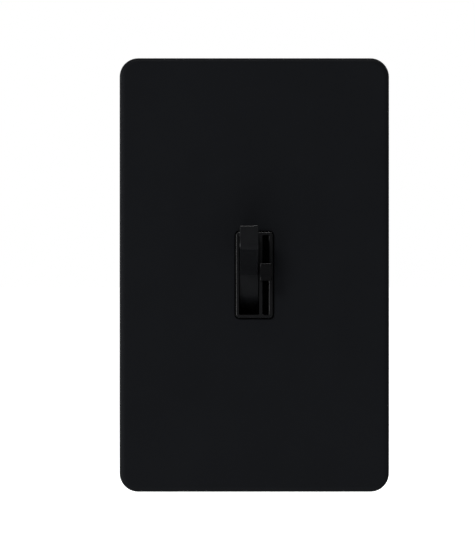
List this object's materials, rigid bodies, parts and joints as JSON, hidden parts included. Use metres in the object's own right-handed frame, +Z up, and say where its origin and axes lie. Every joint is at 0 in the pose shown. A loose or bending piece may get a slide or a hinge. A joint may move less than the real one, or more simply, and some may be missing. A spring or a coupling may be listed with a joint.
{
  "type": "dimmer switch",
  "caption": "Wall dimmer: a toggle lever beside a slide control in a framed opening, under a screwless wall plate, with its yoke, wiring terminals and rear housing.",
  "frame": {"origin": "centre of the wall plate in the plane of the finished wall, midway between the two mounting screws", "axes": "+Z up, +Y into the wall, -Y towards the room, +X to the viewer's right"},
  "size_m": [0.074, 0.049, 0.119],
  "materials": {
    "plate_black": "satin",
    "inner_plastic": "matte",
    "zinc_steel": "zinc plated",
    "yoke_aluminium": "mill finish",
    "retainer_fibre": "matte",
    "ground_green": "green passivated",
    "bezel_black": "satin",
    "toggle_black": "satin",
    "spring_steel": "bright",
    "contact_brass": "stamped",
    "contact_silver": "bright",
    "knob_black": "satin",
    "carriage_nylon": "matte",
    "track_phenolic": "matte",
    "housing_black": "fine grain",
    "board_green": "solder mask",
    "terminal_brass": "bright",
    "pad_grey": "matte",
    "tab_tinned": "tinned",
    "epoxy_black": "matte",
    "core_yellow": "painted",
    "enamelled_wire": "enamelled",
    "capacitor_red": "gloss",
    "capacitor_blue": "gloss",
    "resistor_tan": "satin",
    "diac_blue": "gloss",
    "trimmer_blue": "gloss",
    "trimmer_white": "satin"
  },
  "bodies": {
    "root": {"wall_plate": "plate_black", "adapter_plate": "inner_plastic", "adapter_screws": "zinc_steel", "yoke": "yoke_aluminium", "mounting_screws": "zinc_steel", "screw_retainers": "retainer_fibre", "ground_screw": "ground_green", "bezel": "bezel_black", "rocker_cradle": "contact_brass", "fixed_contacts": "contact_silver", "traveller_strips": "contact_brass", "pot_shell": "zinc_steel", "pot_track": "track_phenolic", "back_housing": "housing_black", "housing_screws": "zinc_steel", "circuit_board": "board_green", "terminal_plates": "contact_brass", "terminal_clamps": "zinc_steel", "terminal_screws": "terminal_brass", "thermal_pad": "pad_grey", "triac_tab": "tab_tinned", "triac_body": "epoxy_black", "triac_rivet": "yoke_aluminium", "triac_leads": "tab_tinned", "choke_core": "core_yellow", "choke_winding": "enamelled_wire", "film_capacitor": "capacitor_red", "round_capacitor": "capacitor_blue", "resistors": "resistor_tan", "diac": "diac_blue", "trim_potentiometer": "trimmer_blue"},
    "toggle": {"toggle_lever": "toggle_black", "toggle_spring": "spring_steel"},
    "rocker": {"rocking_contact": "contact_brass", "rocker_buttons": "contact_silver"},
    "slider": {"slider_knob": "knob_black", "slider_carriage": "carriage_nylon", "pot_wiper": "carriage_nylon"},
    "trim": {"trim_dial": "trimmer_white"}
  },
  "joints": [
    {"name": "toggle_swing", "type": "hinge", "parent": "root", "child": "toggle", "pos_m": [-0.00148, 0.00245, 0], "axis": [1, 0, 0], "range_deg": [0, 48]},
    {"name": "rocker_tilt", "type": "hinge", "parent": "root", "child": "rocker", "pos_m": [-0.00148, 0.01015, 0], "axis": [1, 0, 0], "range_deg": [-16, 0]},
    {"name": "dimmer_slide", "type": "slide", "parent": "root", "child": "slider", "axis": [0, 0, 1], "range_m": [-0.00999, 0.00831]},
    {"name": "trim_turn", "type": "hinge", "parent": "root", "child": "trim", "pos_m": [-0.0132, 0.005, -0.0036], "axis": [0, 1, 0], "range_deg": [-135, 135]}
  ],
  "couplings": [
    {"joint": "rocker_tilt", "follows": "toggle_swing", "ratio": -0.33333}
  ]
}
